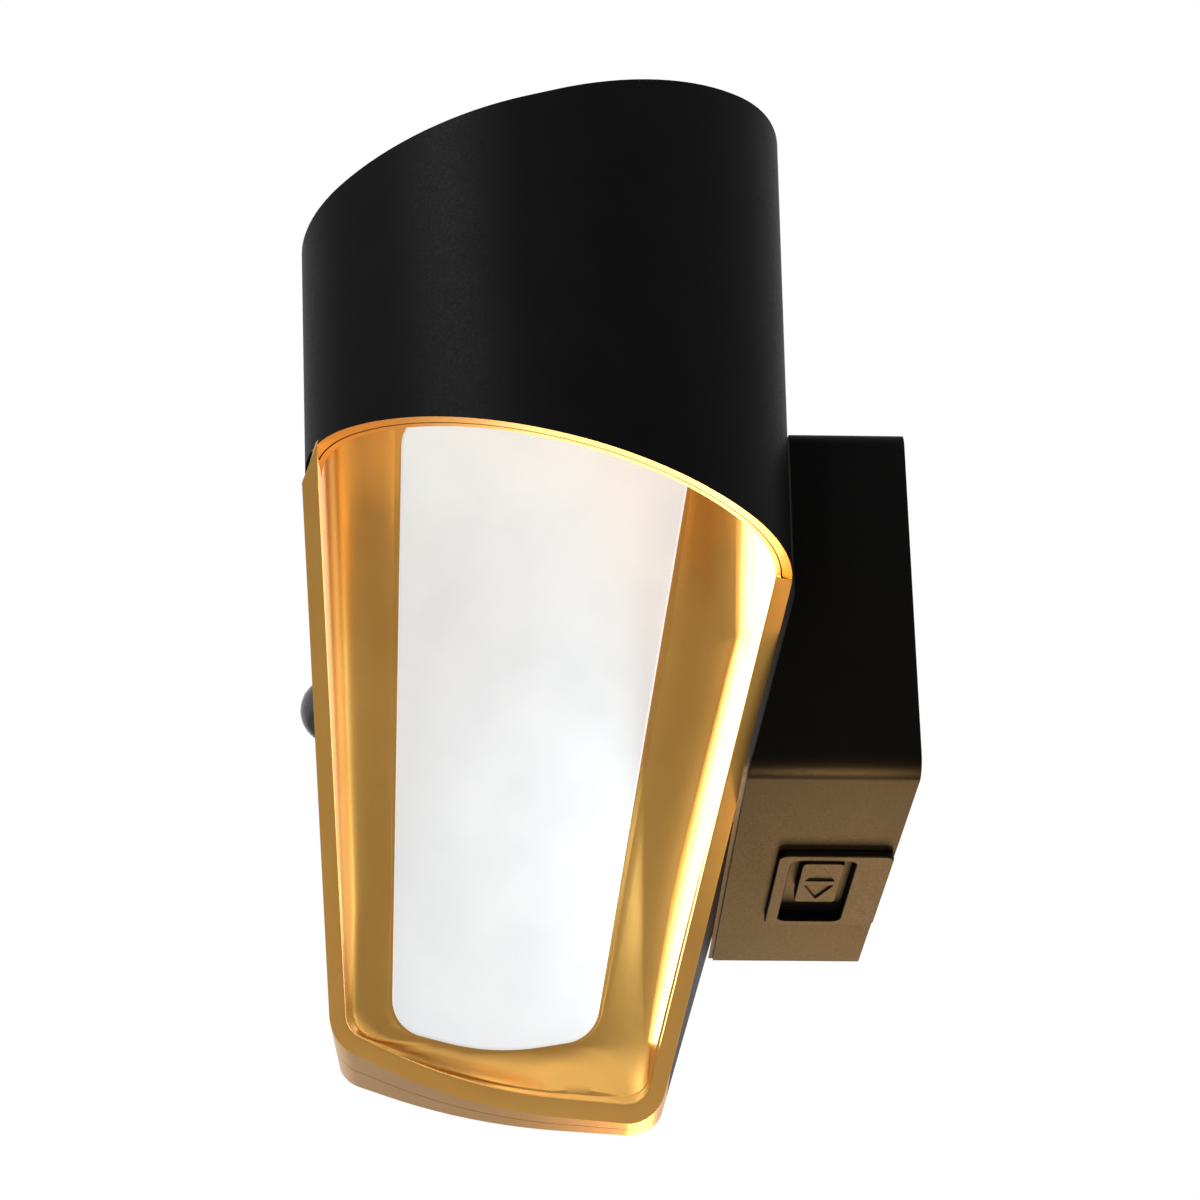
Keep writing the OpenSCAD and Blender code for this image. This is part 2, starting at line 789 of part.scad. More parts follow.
module reflector() {
    difference() {
        union() {
            difference() {
                tray_solid();
                tray_hollow();
            }
            at_posts(led_board_x) cylinder(h = led_gap + least_r, d = post_d);
        }
        on_back() slab_x(back_x - least_r, least_r, diffuser_outline(fit_gap));
        intersection() {
            on_back() slab_x(back_x - flange_t - fit_gap, back_x, diffuser_outline(flange_w + fit_gap));
            below_foot(fit_gap);
        }
        at_posts(led_board_x - least_r) cylinder(h = screw_bite + least_r, d = hole_d);
    }
}

module reflector_right() {
    color("#b5893f") reflector();
}

module reflector_left() {
    color("#b5893f") on_left() reflector();
}

module diffuser() {
    on_back() {
        slab_x(back_x - flange_t, back_x + diffuser_t, diffuser_outline(0));
        slab_x(back_x - flange_t, back_x, diffuser_outline(flange_w));
    }
}

module diffuser_right() {
    color("#f2f2f0") diffuser();
}

module diffuser_left() {
    color("#f2f2f0") on_left() diffuser();
}

module led_board() {
    r = post_edge;
    difference() {
        on_back() slab_x(led_board_x - board_t, led_board_x, rounded(board_points, [r, r, r, r]));
        at_posts(led_board_x - 2 * board_t) cylinder(h = 3 * board_t, d = hole_d);
    }
}

module led_board_right() {
    color("#e9ece9") led_board();
}

module led_board_left() {
    color("#e9ece9") on_left() led_board();
}

module leds() {
    low = led_low + led_side;
    high = led_high - 2 * led_side;
    on_back() for (row = [0 : led_rows - 1]) {
        s = low + (high - low) * row / (led_rows - 1);
        y0 = diffuser_y0 + diffuser_r;
        y1 = diffuser_y1(s) - diffuser_r;
        for (col = [0 : led_cols - 1])
            translate([led_board_x, y0 + (y1 - y0) * col / (led_cols - 1) - led_side / 2, s])
                cube([led_h, led_side, led_side]);
    }
}

module leds_right() {
    color("#f4e7a0") leds();
}

module leds_left() {
    color("#f4e7a0") on_left() leds();
}

module led_board_screws() {
    color("#9a9a98") for (side = [0, 1]) mirror([side, 0, 0])
        at_posts(led_board_x - board_t) rotate([180, 0, 0]) screw(board_t + screw_bite - least_r);
}

module sensor_lens() {
    centre_y = dome_r - dome_out;
    color("#2c2c2e") at_sensor() difference() {
        union() {
            translate([0, centre_y, 0]) sphere(dome_r);
            bar_y(0, 0, centre_y, shell_wall + lens_flange_t, 2 * dome_r);
            bar_y(0, 0, shell_wall, shell_wall + lens_flange_t, 2 * (dome_r + lens_flange_w));
        }
        translate([0, centre_y, 0]) sphere(dome_r - dome_t);
        bar_y(0, 0, centre_y, far, 2 * (dome_r - dome_t));
        translate([0, far + shell_wall + lens_flange_t, 0]) cube(2 * far, center = true);
    }
}

module sensor_shroud() {
    color("#202022") at_sensor() difference() {
        bar_y(0, 0, shell_wall + lens_flange_t, control_y, 2 * (dome_r + lens_flange_w));
        bar_y(0, 0, -far, far, 2 * dome_r);
    }
}

module sensor_can() {
    color("#b9b9b4") at_sensor() bar_y(0, 0, control_y - can_h, control_y, can_d);
}

module control_board() {
    color("#1f5a34") difference() {
        at_sensor() translate([-control_w / 2, control_y, -control_low])
            cube([control_w, board_t, control_low + control_high]);
        control_screw_places() bar_y(0, 0, -far, far, hole_d);
    }
}

module control_board_screws() {
    color("#9a9a98") control_screw_places()
        translate([0, control_y + board_t, 0]) rotate([-90, 0, 0]) screw(board_t + screw_bite - least_r);
}

module battery() {
    color("#3c7a4a") translate([-cell_len / 2, battery_y, battery_z]) rotate([0, 90, 0])
        cylinder(h = cell_len, d = cell_dia);
}

module battery_holder() {
    cradle_h = cell_dia + 2 * holder_wall;
    plate_h = 2 * holder_screw_z + boss_d;
    color("#222224") difference() {
        union() {
            translate([-holder_len / 2, holder_y - holder_wall, battery_z - plate_h / 2])
                cube([holder_len, holder_wall, plate_h]);
            translate([-holder_len / 2, holder_y - holder_reach, battery_z - cradle_h / 2])
                cube([holder_len, holder_reach, cradle_h]);
        }
        translate([-cell_len / 2 - contact_t - fit_gap, battery_y, battery_z]) rotate([0, 90, 0])
            cylinder(h = cell_len + 2 * (contact_t + fit_gap), d = cell_dia + 2 * fit_gap);
        translate([0, battery_y - far / 2, battery_z])
            cube([cell_len + 2 * (contact_t + fit_gap), far, cell_dia + 2 * fit_gap], center = true);
        holder_screw_places() bar_y(0, 0, -far, 0, hole_d);
        holder_screw_places() bar_y(0, 0, -far, holder_y - holder_wall, screw_head_d + 2 * fit_gap);
    }
}

module battery_contacts() {
    color("#c9c9c4") for (end = [-1, 1])
        translate([end * (cell_len / 2 + fit_gap + contact_t / 2), battery_y, battery_z])
            cube([contact_t, contact_side, contact_side], center = true);
}

module holder_screws() {
    color("#9a9a98") holder_screw_places()
        translate([0, holder_y - holder_wall, 0]) rotate([90, 0, 0]) screw(holder_wall + holder_boss);
}

module wall_box() {
    color("#121214") difference() {
        union() {
            difference() {
                box_slab(0, -far, 0);
                difference() {
                    box_slab(box_wall, -far, least_r);
                    head_side(seal_t + box_wall);
                }
            }
            intersection() {
                box_slab(least_r, -far, 0);
                four_corners(cover_screw_x, cover_screw_z) bar_y(0, 0, -far, -cover_t, boss_d);
            }
        }
        head_side(seal_t);
        four_corners(cover_screw_x, cover_screw_z)
            bar_y(0, 0, -cover_t - screw_bite, least_r, hole_d);
        head_screw_places() bar_y(0, 0, -far, least_r, hole_d);
        bar_y(0, wire_z, -far, least_r, wire_d);
        translate([switch_x, pocket_y, -box_h / 2])
            cube([pocket_l + tub_room, pocket_d + tub_room, 3 * box_wall], center = true);
    }
}

module head_seal() {
    color("#2a2a2a") difference() {
        box_slab(least_r, -far, 0);
        head_side(0);
        box_slab(least_r + seal_band, -far, least_r);
        difference() {
            box_slab(0, -far, least_r);
            head_side(seal_t);
        }
    }
}

module head_screws() {
    seat = seal_t + box_wall;
    color("#9a9a98") head_screw_places()
        translate([0, y_rear + seat, 0]) rotate([-90, 0, 0]) screw(seat + screw_bite);
}

module keyhole() {
    bar_y(0, 0, -far, far, keyhole_d);
    bar_y(0, keyhole_drop, -far, far, keyhole_slot);
    translate([0, 0, keyhole_drop / 2]) cube([keyhole_slot, far, keyhole_drop], center = true);
}

module back_cover() {
    color("#1a1a1c") difference() {
        box_slab(box_wall + fit_gap, -cover_t, 0);
        for (side = [-1, 1]) translate([side * keyhole_pitch / 2, 0, keyhole_z]) keyhole();
        four_corners(cover_screw_x, cover_screw_z) {
            bar_y(0, 0, -far, far, hole_d);
            bar_y(0, 0, cover_seat_y, far, screw_head_d + 2 * fit_gap);
        }
    }
}

module cover_screws() {
    length = cover_t + cover_seat_y + screw_bite - screw_gap;
    color("#9a9a98") four_corners(cover_screw_x, cover_screw_z)
        translate([0, cover_seat_y, 0]) rotate([-90, 0, 0]) screw(length);
}

module pocket_outline(l, d, r) {
    polygon(rounded([[-l, -d] / 2, [l, -d] / 2, [l, d] / 2, [-l, d] / 2], [r, r, r, r]));
}

module switch_plate() {
    color("#4a3c28") difference() {
        union() {
            translate([switch_x, plate_y, plate_z]) linear_extrude(plate_t)
                pocket_outline(plate_l, plate_d, plate_r);
            translate([switch_x, pocket_y, plate_z]) linear_extrude(tub_top_z - plate_z)
                pocket_outline(pocket_l + 2 * tub_t, pocket_d + 2 * tub_t, plate_r);
        }
        translate([switch_x, pocket_y, plate_z - least_r]) linear_extrude(tub_floor_z - plate_z + least_r)
            pocket_outline(pocket_l, pocket_d, plate_r);
        translate([slot_x, pocket_y, tub_floor_z])
            cube([slot_l, stem_w + 2 * slide_gap, 4 * tub_t], center = true);
    }
}

module switch_slider() {
    color("#2b2b2d") {
        difference() {
            translate([knob_x, pocket_y, knob_z]) linear_extrude(knob_h)
                pocket_outline(knob_l, knob_d, knob_r);
            for (side = [-1, 1]) translate([knob_x + side * ridge_w, pocket_y, knob_z - least_r])
                linear_extrude(2 * least_r) polygon([[0, -facet_w], [side * facet_l, 0], [0, facet_w]]);
        }
        translate([knob_x - stem_w / 2, pocket_y - stem_w / 2, knob_z + knob_h - least_r])
            cube([stem_w, stem_w, stem_h + least_r]);
    }
}

module switch_body() {
    color("#d8d8d4") difference() {
        translate([slot_x - body_l / 2, pocket_y - body_d / 2, tub_top_z]) cube([body_l, body_d, switch_h]);
        translate([slot_x, pocket_y, tub_top_z])
            cube([slot_l, stem_w + 2 * slide_gap, 2 * (stem_h - tub_t)], center = true);
    }
}

outer_shell();
panel_frame();
solar_glass();
solar_cells();
solar_back_sheet();
panel_gasket();
panel_screws();
reflector_right();
reflector_left();
diffuser_right();
diffuser_left();
led_board_right();
led_board_left();
leds_right();
leds_left();
led_board_screws();
sensor_lens();
sensor_shroud();
sensor_can();
control_board();
control_board_screws();
battery();
battery_holder();
battery_contacts();
holder_screws();
wall_box();
head_seal();
head_screws();
back_cover();
cover_screws();
switch_plate();
switch_slider();
switch_body();
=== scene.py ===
"""Looks of a solar wall light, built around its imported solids. Metres, +Z up, the wall at Y = 0."""

import json
import math

import bmesh
import bpy
from mathutils import Matrix, Quaternion, Vector


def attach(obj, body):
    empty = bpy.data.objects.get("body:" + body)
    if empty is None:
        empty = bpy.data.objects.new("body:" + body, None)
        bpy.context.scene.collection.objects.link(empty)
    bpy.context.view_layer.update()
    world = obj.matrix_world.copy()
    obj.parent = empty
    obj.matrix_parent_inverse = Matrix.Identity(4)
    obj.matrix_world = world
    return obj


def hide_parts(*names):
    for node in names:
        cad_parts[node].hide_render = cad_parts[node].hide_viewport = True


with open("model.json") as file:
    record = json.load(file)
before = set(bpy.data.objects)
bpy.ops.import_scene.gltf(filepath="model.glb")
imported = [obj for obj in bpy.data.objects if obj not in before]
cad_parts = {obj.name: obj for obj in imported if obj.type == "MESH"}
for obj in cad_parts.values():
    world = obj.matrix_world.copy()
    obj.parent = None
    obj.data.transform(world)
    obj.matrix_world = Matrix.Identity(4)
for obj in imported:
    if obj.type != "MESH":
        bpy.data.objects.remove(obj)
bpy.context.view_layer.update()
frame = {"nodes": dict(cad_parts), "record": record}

NODES = frame["nodes"]
MM = 0.001

# Camera: place in metres, direction in degrees, and field of view
CAMERA_AT = (0.49821, -0.06781, -0.21862)
CAMERA_AZIMUTH = 88.63
CAMERA_PITCH = 26.03
CAMERA_NEAR = 0.01
FOCAL_PIXELS = 2717
IMAGE_PIXELS = 1200
SENSOR_MM = 36

# Stage, in metres
FLOOR_Z = -0.9
FLOOR_SIDE = 12
FLOOR_COLOUR = (0.86, 0.86, 0.85)
FLOOR_ROUGH = (0.7, 0.8)
FLOOR_GRAIN_MM = 2.0
FLOOR_RELIEF_MM = 0.05
WHITE = (1, 1, 1, 1)
SHOWN_STRENGTH = 1.0
FILL_STRENGTH = 0.35

# Colours, linear
PAINT_DARK = (0.0024, 0.0024, 0.0028)
PAINT_LIGHT = (0.0034, 0.0034, 0.0040)
BOX_DARK = (0.0014, 0.0013, 0.0012)
BOX_LIGHT = (0.0022, 0.0021, 0.0020)
PLASTIC_DARK = (0.0030, 0.0029, 0.0028)
PLASTIC_LIGHT = (0.0048, 0.0046, 0.0044)
GOLD_DARK = (0.56, 0.30, 0.072)
GOLD_LIGHT = (0.64, 0.36, 0.095)
OPAL_DARK = (0.36, 0.36, 0.36)
OPAL_LIGHT = (0.42, 0.42, 0.42)
OPAL_GLOW_DARK = (0.82, 0.88, 0.92)
OPAL_GLOW_LIGHT = (0.88, 0.94, 0.98)
DOME_DARK = (0.022, 0.021, 0.021)
DOME_LIGHT = (0.034, 0.033, 0.032)
CELL_DARK = (0.006, 0.010, 0.030)
CELL_LIGHT = (0.014, 0.026, 0.070)
RIBBON = (0.45, 0.46, 0.47)
STEEL_DARK = (0.42, 0.42, 0.41)
STEEL_LIGHT = (0.62, 0.62, 0.60)
RUBBER_DARK = (0.010, 0.010, 0.010)
RUBBER_LIGHT = (0.020, 0.020, 0.020)
WHITE_DARK = (0.70, 0.70, 0.68)
WHITE_LIGHT = (0.82, 0.82, 0.80)
BOARD_DARK = (0.012, 0.080, 0.032)
BOARD_LIGHT = (0.020, 0.120, 0.050)
PHOSPHOR_DARK = (0.80, 0.60, 0.16)
PHOSPHOR_LIGHT = (0.92, 0.76, 0.26)
WRAP_DARK = (0.030, 0.150, 0.065)
WRAP_LIGHT = (0.055, 0.220, 0.100)
GLASS_COLOUR = (0.92, 0.96, 0.97, 1)

# Finishes: dark and light colour, least and most roughness, grain and relief in mm, other settings
FINISHES = {
    "black_paint": (PAINT_DARK, PAINT_LIGHT, (0.42, 0.52), 0.5, 0.02, {"Specular_IOR_Level": 0.03}),
    "box_plastic": (BOX_DARK, BOX_LIGHT, (0.40, 0.50), 0.45, 0.03, {"Specular_IOR_Level": 0.03}),
    "black_plastic": (PLASTIC_DARK, PLASTIC_LIGHT, (0.40, 0.52), 0.4, 0.02, {"Specular_IOR_Level": 0.04}),
    "gold": (GOLD_DARK, GOLD_LIGHT, (0.32, 0.42), 0.22, 0.02,
             {"strength": 0.25, "patch_mm": 25.0, "Metallic": 1.0}),
    "lens_plastic": (DOME_DARK, DOME_LIGHT, (0.22, 0.30), 0.6, 0.01, {}),
    "silicon": (CELL_DARK, CELL_LIGHT, (0.18, 0.26), 0.3, 0.01, {"patch_mm": 20.0}),
    "screw_steel": (STEEL_DARK, STEEL_LIGHT, (0.28, 0.42), 0.2, 0.01, {"Metallic": 1.0}),
    "seal_rubber": (RUBBER_DARK, RUBBER_LIGHT, (0.6, 0.75), 0.3, 0.03, {}),
    "white_plastic": (WHITE_DARK, WHITE_LIGHT, (0.4, 0.5), 0.4, 0.02, {}),
    "white_board": (WHITE_DARK, WHITE_LIGHT, (0.3, 0.4), 0.5, 0.01, {}),
    "led_yellow": (PHOSPHOR_DARK, PHOSPHOR_LIGHT, (0.3, 0.4), 0.3, 0.01, {}),
    "green_board": (BOARD_DARK, BOARD_LIGHT, (0.3, 0.4), 0.5, 0.01, {}),
    "battery_wrap": (WRAP_DARK, WRAP_LIGHT, (0.2, 0.3), 0.6, 0.01, {}),
    "opal": (OPAL_DARK, OPAL_LIGHT, (0.35, 0.45), 0.6, 0.01, {}),
}
GRAIN_DETAIL = 4.0
PATCH_DETAIL = 2.0

# The diffusers' own glow and its soft streaks
OPAL_GLOW = 0.59
STREAK_MM = 40.0
STREAK_STRETCH = (1, 1.6, 0.7)

# Solar glass
GLASS_IOR = 1.5
GLASS_ROUGH = (0.04, 0.09)
GLASS_GRAIN_MM = 0.8
GLASS_RELIEF_MM = 0.004
GLASS_RELIEF_STRENGTH = 0.1

# The head's planes in millimetres, and its slopes and leans
Y_FRONT = -111.5
Y_REAR = -22.5
Y_MID = (Y_FRONT + Y_REAR) / 2
SLEEVE_Z = 10.9
SLEEVE_SLOPE = math.tan(math.radians(13))
SLEEVE_FRONT_Z = SLEEVE_Z + (Y_REAR - Y_FRONT) / 2 * SLEEVE_SLOPE
BEND_DROP = 0.4
BEND_REAR_Z = 2 * SLEEVE_Z - SLEEVE_FRONT_Z - BEND_DROP
FRONT_LEAN = math.radians(3.5)
REAR_LEAN = math.radians(15)
RIM_LEAN = math.radians(32.5)
BACK_LEAN = math.radians(20)
RIM_X = 65.25
BACK_X = 36.15
LINING_IN = 3.05
CEILING_Z = 44.0
SLEEVE_FLAT_X = 57.5
SLEEVE_CORNER_R = 32.0
TOP_SLOPE = math.tan(math.radians(15.9))
TOP_Z = 81.8

# The lips' upper front corners, drawn in under the sleeve: over this height below the sleeve's edge,
# with a little more than the whole height as the limit, out to a reach past the sleeve's flat
TUCK_H = 6.5
TUCK_TOP = 1.05
TUCK_REACH = 16.0
TUCK_LEAST = 0.1

# Corners of the foot, of a back plate and of a diffuser: along Y, and up
FOOT_FRONT_Z = -72.5
FOOT_KEEL = (Y_FRONT + 31, -82.8)
FOOT_REAR_Z = -85.5
FOOT_R = 7.0
KEEL_R = 110.0
BACK_FRONT_Z = FOOT_FRONT_Z + 2.5
BACK_KEEL_Z = FOOT_KEEL[1] + 8.4
BACK_REAR_Z = FOOT_REAR_Z + 14
REAR_DRAFT_TOP = 3.6
REAR_DRAFT_FOOT = 3.0
DIFFUSER_Y0 = Y_FRONT + 16.7
DIFFUSER_TOP = 32.5
DIFFUSER_REAR = 15.5
DIFFUSER_LEAN = math.tan(math.radians(9.2))
DIFFUSER_BEND = 0.02
DIFFUSER_SILL = 2.0
DIFFUSER_R = 7.0
DIFFUSER_FACE = 2.0
KEEL_CURVE = 1.16

# Lining of an opening: its fold between wall and plate and the most of each that it takes,
# its rows, the start of its sheet below the lip, and its thickness
FOLD_R = 7.0
FOLD_OF_WALL = 0.6
FOLD_OF_PLATE = 0.8
FOLD_ROWS = 10
WALL_ROWS = 6
PLATE_ROWS = 4
ARC_STEPS = 10
SIDE_STEPS = 12
LIP_ROUND = 1.1
LIP_STEPS = 4
LIP_PROFILE = 0.5
LIP_CENTRE_Z = -25.0
SKIN_START = 1.2 * LIP_ROUND
SKIN_START_OF_WALL = 0.3
SKIN_LIFT = 0.15
SKIN_SINK = 0.35
SKIN_T = 0.25

# Meshes: points that are one, faces that are flat, normals that are alike, and edges that stay sharp
MERGE_MM = 0.002
FLAT_ANGLE = math.radians(0.3)
ALIKE = 0.999
SHARP_ANGLE = math.radians(28)
BEVEL_ANGLE = math.radians(35)

# Copies of solids: name, node, slot, width in mm and steps of their rounded edges, and body
COPIES = (
    ("panel_surround", "panel_frame", "black_plastic", 0.3, 2, "lamp"),
    ("box", "wall_box", "box_plastic", 0.4, 2, "lamp"),
    ("box_back", "back_cover", "black_plastic", 0.3, 2, "lamp"),
    ("switch_surround", "switch_plate", "black_plastic", 0.3, 2, "lamp"),
    ("switch_knob", "switch_slider", "black_plastic", 0.2, 2, "slider"),
    ("opal_right", "diffuser_right", "opal", 0.9, 4, "lamp"),
    ("opal_left", "diffuser_left", "opal", 0.9, 4, "lamp"),
)
SHELL_EDGE_MM = 0.35
SHELL_EDGE_STEPS = 2

# Studio lamps: place, target and size in m, watts, colour, and spread in degrees
PLAIN = (1, 1, 1)
WARM = (1.0, 0.58, 0.22)
WIDE = 180.0
LAMPS = (
    ("key", (1.0, -0.82, 0.82), (0, -0.06, 0.04), (0.5, 0.5), 18, PLAIN, WIDE),
    ("under", (-0.45, 0.07, -0.22), (0, -0.015, -0.035), (0.2, 0.2), 1.4, WARM, WIDE),
    ("below", (-0.02, -0.02, -0.5), (0, -0.02, 0), (0.36, 0.2), 0.8, WARM, WIDE),
    ("edge", (0.05, -0.011, -0.11), (0.05, -0.011, 0), (0.06, 0.02), 0.055, WARM, 44.0),
)

# The diffusers' light: lamps along Y and up a back plate, height over it in mm,
# size in m, watts and roll in degrees
GLOWS = (
    ("glow", Y_MID - 2, -29.0, DIFFUSER_FACE + 0.4, (0.040, 0.112), 0.060, 0.0),
    ("glow_rear", -40.5, -28.5, 1.5, (0.012, 0.116), 0.042, 9.5),
    ("glow_front", -98.6, -29.0, 1.5, (0.010, 0.110), 0.004, -2.4),
)
GLOW_COLOUR = (1.0, 0.97, 0.92)
GLOW_AHEAD = 10.0

# Cool light inside the sleeve: lamps with their places in mm, sizes in m and watts
SLEEVE_GLOWS = (
    ("glow_sleeve", (63.0, -81.0, 27.0), (0.052, 0.022), 0.0018),
    ("glow_sleeve_rear", (60.0, -42.0, 17.0), (0.016, 0.022), 0.0002),
)
COOL = (0.25, 0.90, 1.0)

# Light along the front lip: a lamp in the opening's plane that faces forward
LIP_GLOW_Y = -48.0
LIP_GLOW_Z = -30.0
LIP_GLOW_IN = 3.0
LIP_GLOW_SIZE = (0.008, 0.097)
LIP_GLOW_WATTS = 0.012
LIP_GLOW_COLOUR = (0.8, 0.95, 1.0)

# Solar cells, in millimetres
CELL_COUNT = 8
CELL_ROW_L = 150.0
CELL_GAP = 1.6
CELL_D = 54.0
CELL_CHAMFER = 2.6
CELL_TOP = 3.5
CELL_T = 0.4
FINGER_MM = 1.9
FINGER_W_MM = 0.16
RIBBON_MM = 9.475
RIBBON_W_MM = 1.1

# Motion sensor's dome, in millimetres
DOME_R = 6.8
DOME_OUT = 5.5
DOME_Z = -0.5
DOME_STEPS = 2
FACET_GROOVE = 0.18
FACET_CROWN = 0.10


def make_camera():
    azimuth = math.radians(CAMERA_AZIMUTH)
    pitch = math.radians(CAMERA_PITCH)
    ahead = Vector((
        -math.sin(azimuth) * math.cos(pitch),
        math.cos(azimuth) * math.cos(pitch),
        math.sin(pitch),
    ))
    data = bpy.data.cameras.new("camera")
    data.sensor_width = SENSOR_MM
    data.lens = FOCAL_PIXELS / IMAGE_PIXELS * SENSOR_MM
    data.clip_start = CAMERA_NEAR
    camera = bpy.data.objects.new("camera", data)
    camera.location = CAMERA_AT
    camera.rotation_euler = ahead.to_track_quat("-Z", "Y").to_euler()
    bpy.context.scene.collection.objects.link(camera)
    bpy.context.scene.camera = camera


def link(tree, source, target):
    tree.links.new(source, target)


def add_node(tree, kind, **values):
    made = tree.nodes.new(kind)
    for key, value in values.items():
        setattr(made, key, value)
    return made


def mapped(tree, stretch):
    coords = add_node(tree, "ShaderNodeTexCoord")
    mapping = add_node(tree, "ShaderNodeMapping")
    mapping.inputs["Scale"].default_value = stretch
    link(tree, coords.outputs["Object"], mapping.inputs["Vector"])
    return mapping.outputs["Vector"]


def noise(tree, size_mm, detail=3.0, stretch=(1, 1, 1)):
    """A noise whose patches are about size_mm across."""
    made = add_node(tree, "ShaderNodeTexNoise")
    made.inputs["Scale"].default_value = 1 / (size_mm * MM)
    made.inputs["Detail"].default_value = detail
    link(tree, mapped(tree, stretch), made.inputs["Vector"])
    return made.outputs["Fac"]


def spread(tree, value, low, high, from_low=0.3, from_high=0.7):
    """Maps the middle of a noise onto low to high."""
    made = add_node(tree, "ShaderNodeMapRange")
    made.inputs["From Min"].default_value = from_low
    made.inputs["From Max"].default_value = from_high
    made.inputs["To Min"].default_value = low
    made.inputs["To Max"].default_value = high
    link(tree, value, made.inputs["Value"])
    return made.outputs["Result"]


def mixed(tree, factor, first, second):
    """Mixes two colours, each a fixed colour or a socket."""
    made = add_node(tree, "ShaderNodeMix", data_type="RGBA")
    link(tree, factor, made.inputs["Factor"])
    for key, colour in (("A", first), ("B", second)):
        socket = [s for s in made.inputs if s.name == key and s.type == "RGBA"][0]
        if isinstance(colour, tuple):
            socket.default_value = (*colour, 1)
        else:
            link(tree, colour, socket)
    return [s for s in made.outputs if s.type == "RGBA"][0]


def bumped(tree, shader, height, strength, distance_mm):
    made = add_node(tree, "ShaderNodeBump")
    made.inputs["Strength"].default_value = strength
    made.inputs["Distance"].default_value = distance_mm * MM
    link(tree, height, made.inputs["Height"])
    link(tree, made.outputs["Normal"], shader.inputs["Normal"])


def surface(name, dark, light, rough, grain_mm, bump_mm, strength=0.3, patch_mm=12.0, **sockets):
    """A moulded or painted surface: patchy colour, fine grain in its gloss and its relief."""
    material = bpy.data.materials.new(name)
    material.use_nodes = True
    tree = material.node_tree
    shader = tree.nodes["Principled BSDF"]
    for key, value in sockets.items():
        shader.inputs[key.replace("_", " ")].default_value = value
    grain = noise(tree, grain_mm, GRAIN_DETAIL)
    patches = noise(tree, patch_mm, PATCH_DETAIL)
    tone = spread(tree, patches, 0.0, 1.0)
    link(tree, mixed(tree, tone, dark, light), shader.inputs["Base Color"])
    link(tree, spread(tree, grain, rough[0], rough[1]), shader.inputs["Roughness"])
    bumped(tree, shader, grain, strength, bump_mm)
    return material


def stripes(tree, axis, pitch_mm, width_mm):
    """1 on stripes of width_mm across an axis, 0 between them."""
    coords = add_node(tree, "ShaderNodeTexCoord")
    parts = add_node(tree, "ShaderNodeSeparateXYZ")
    link(tree, coords.outputs["Object"], parts.inputs[0])
    wrapped = add_node(tree, "ShaderNodeMath", operation="PINGPONG")
    link(tree, parts.outputs[axis], wrapped.inputs[0])
    wrapped.inputs[1].default_value = pitch_mm / 2 * MM
    made = add_node(tree, "ShaderNodeMath", operation="LESS_THAN")
    link(tree, wrapped.outputs[0], made.inputs[0])
    made.inputs[1].default_value = width_mm / 2 * MM
    return made.outputs[0]


def light_up(material):
    """Lights opal plastic from behind, a little brighter in soft streaks."""
    tree = material.node_tree
    shader = tree.nodes["Principled BSDF"]
    streaks = noise(tree, STREAK_MM, PATCH_DETAIL, STREAK_STRETCH)
    glow = mixed(tree, spread(tree, streaks, 0.0, 1.0), OPAL_GLOW_DARK, OPAL_GLOW_LIGHT)
    link(tree, glow, shader.inputs["Emission Color"])
    shader.inputs["Emission Strength"].default_value = OPAL_GLOW


def print_lines(material):
    """Prints fine fingers, and two ribbons to a cell, on silicon."""
    tree = material.node_tree
    shader = tree.nodes["Principled BSDF"]
    base = shader.inputs["Base Color"].links[0].from_socket
    fingers = mixed(tree, stripes(tree, "Y", FINGER_MM, FINGER_W_MM), base, RIBBON)
    lines = mixed(tree, stripes(tree, "X", RIBBON_MM, RIBBON_W_MM), fingers, RIBBON)
    link(tree, lines, shader.inputs["Base Color"])


def glass_material():
    material = bpy.data.materials.new("panel_glass")
    material.use_nodes = True
    tree = material.node_tree
    shader = tree.nodes["Principled BSDF"]
    shader.inputs["Base Color"].default_value = GLASS_COLOUR
    shader.inputs["Transmission Weight"].default_value = 1.0
    shader.inputs["IOR"].default_value = GLASS_IOR
    grain = noise(tree, GLASS_GRAIN_MM)
    link(tree, spread(tree, grain, *GLASS_ROUGH), shader.inputs["Roughness"])
    bumped(tree, shader, grain, GLASS_RELIEF_STRENGTH, GLASS_RELIEF_MM)
    return material


def make_materials():
    made = {"panel_glass": glass_material()}
    for name, (dark, light, rough, grain_mm, relief_mm, others) in FINISHES.items():
        made[name] = surface(name, dark, light, rough, grain_mm, relief_mm, **others)
    light_up(made["opal"])
    print_lines(made["silicon"])
    return made


def paint(node, material):
    mesh = NODES[node].data
    mesh.materials.clear()
    mesh.materials.append(material)


def corner(p, q, s, r):
    """Points of the arc of radius r that rounds the corner q between p and s."""
    a = (p - q).normalized()
    b = (s - q).normalized()
    half = a.angle(b) / 2
    centre = q + (a + b).normalized() * (r / math.sin(half))
    start = q + a * (r / math.tan(half)) - centre
    end = q + b * (r / math.tan(half)) - centre
    turn = math.pi - 2 * half
    points = []
    for i in range(ARC_STEPS + 1):
        part = i / ARC_STEPS
        first = math.sin((1 - part) * turn) / math.sin(turn)
        second = math.sin(part * turn) / math.sin(turn)
        points.append(centre + start * first + end * second)
    return points


def moved_in(points, t):
    """A closed outline moved in by t."""
    count = len(points)
    made = []
    for i, q in enumerate(points):
        a = (points[i - 1] - q).normalized()
        b = (points[(i + 1) % count] - q).normalized()
        half = a.angle(b) / 2
        made.append(q + (a + b).normalized() * (t / math.sin(half)))
    return made


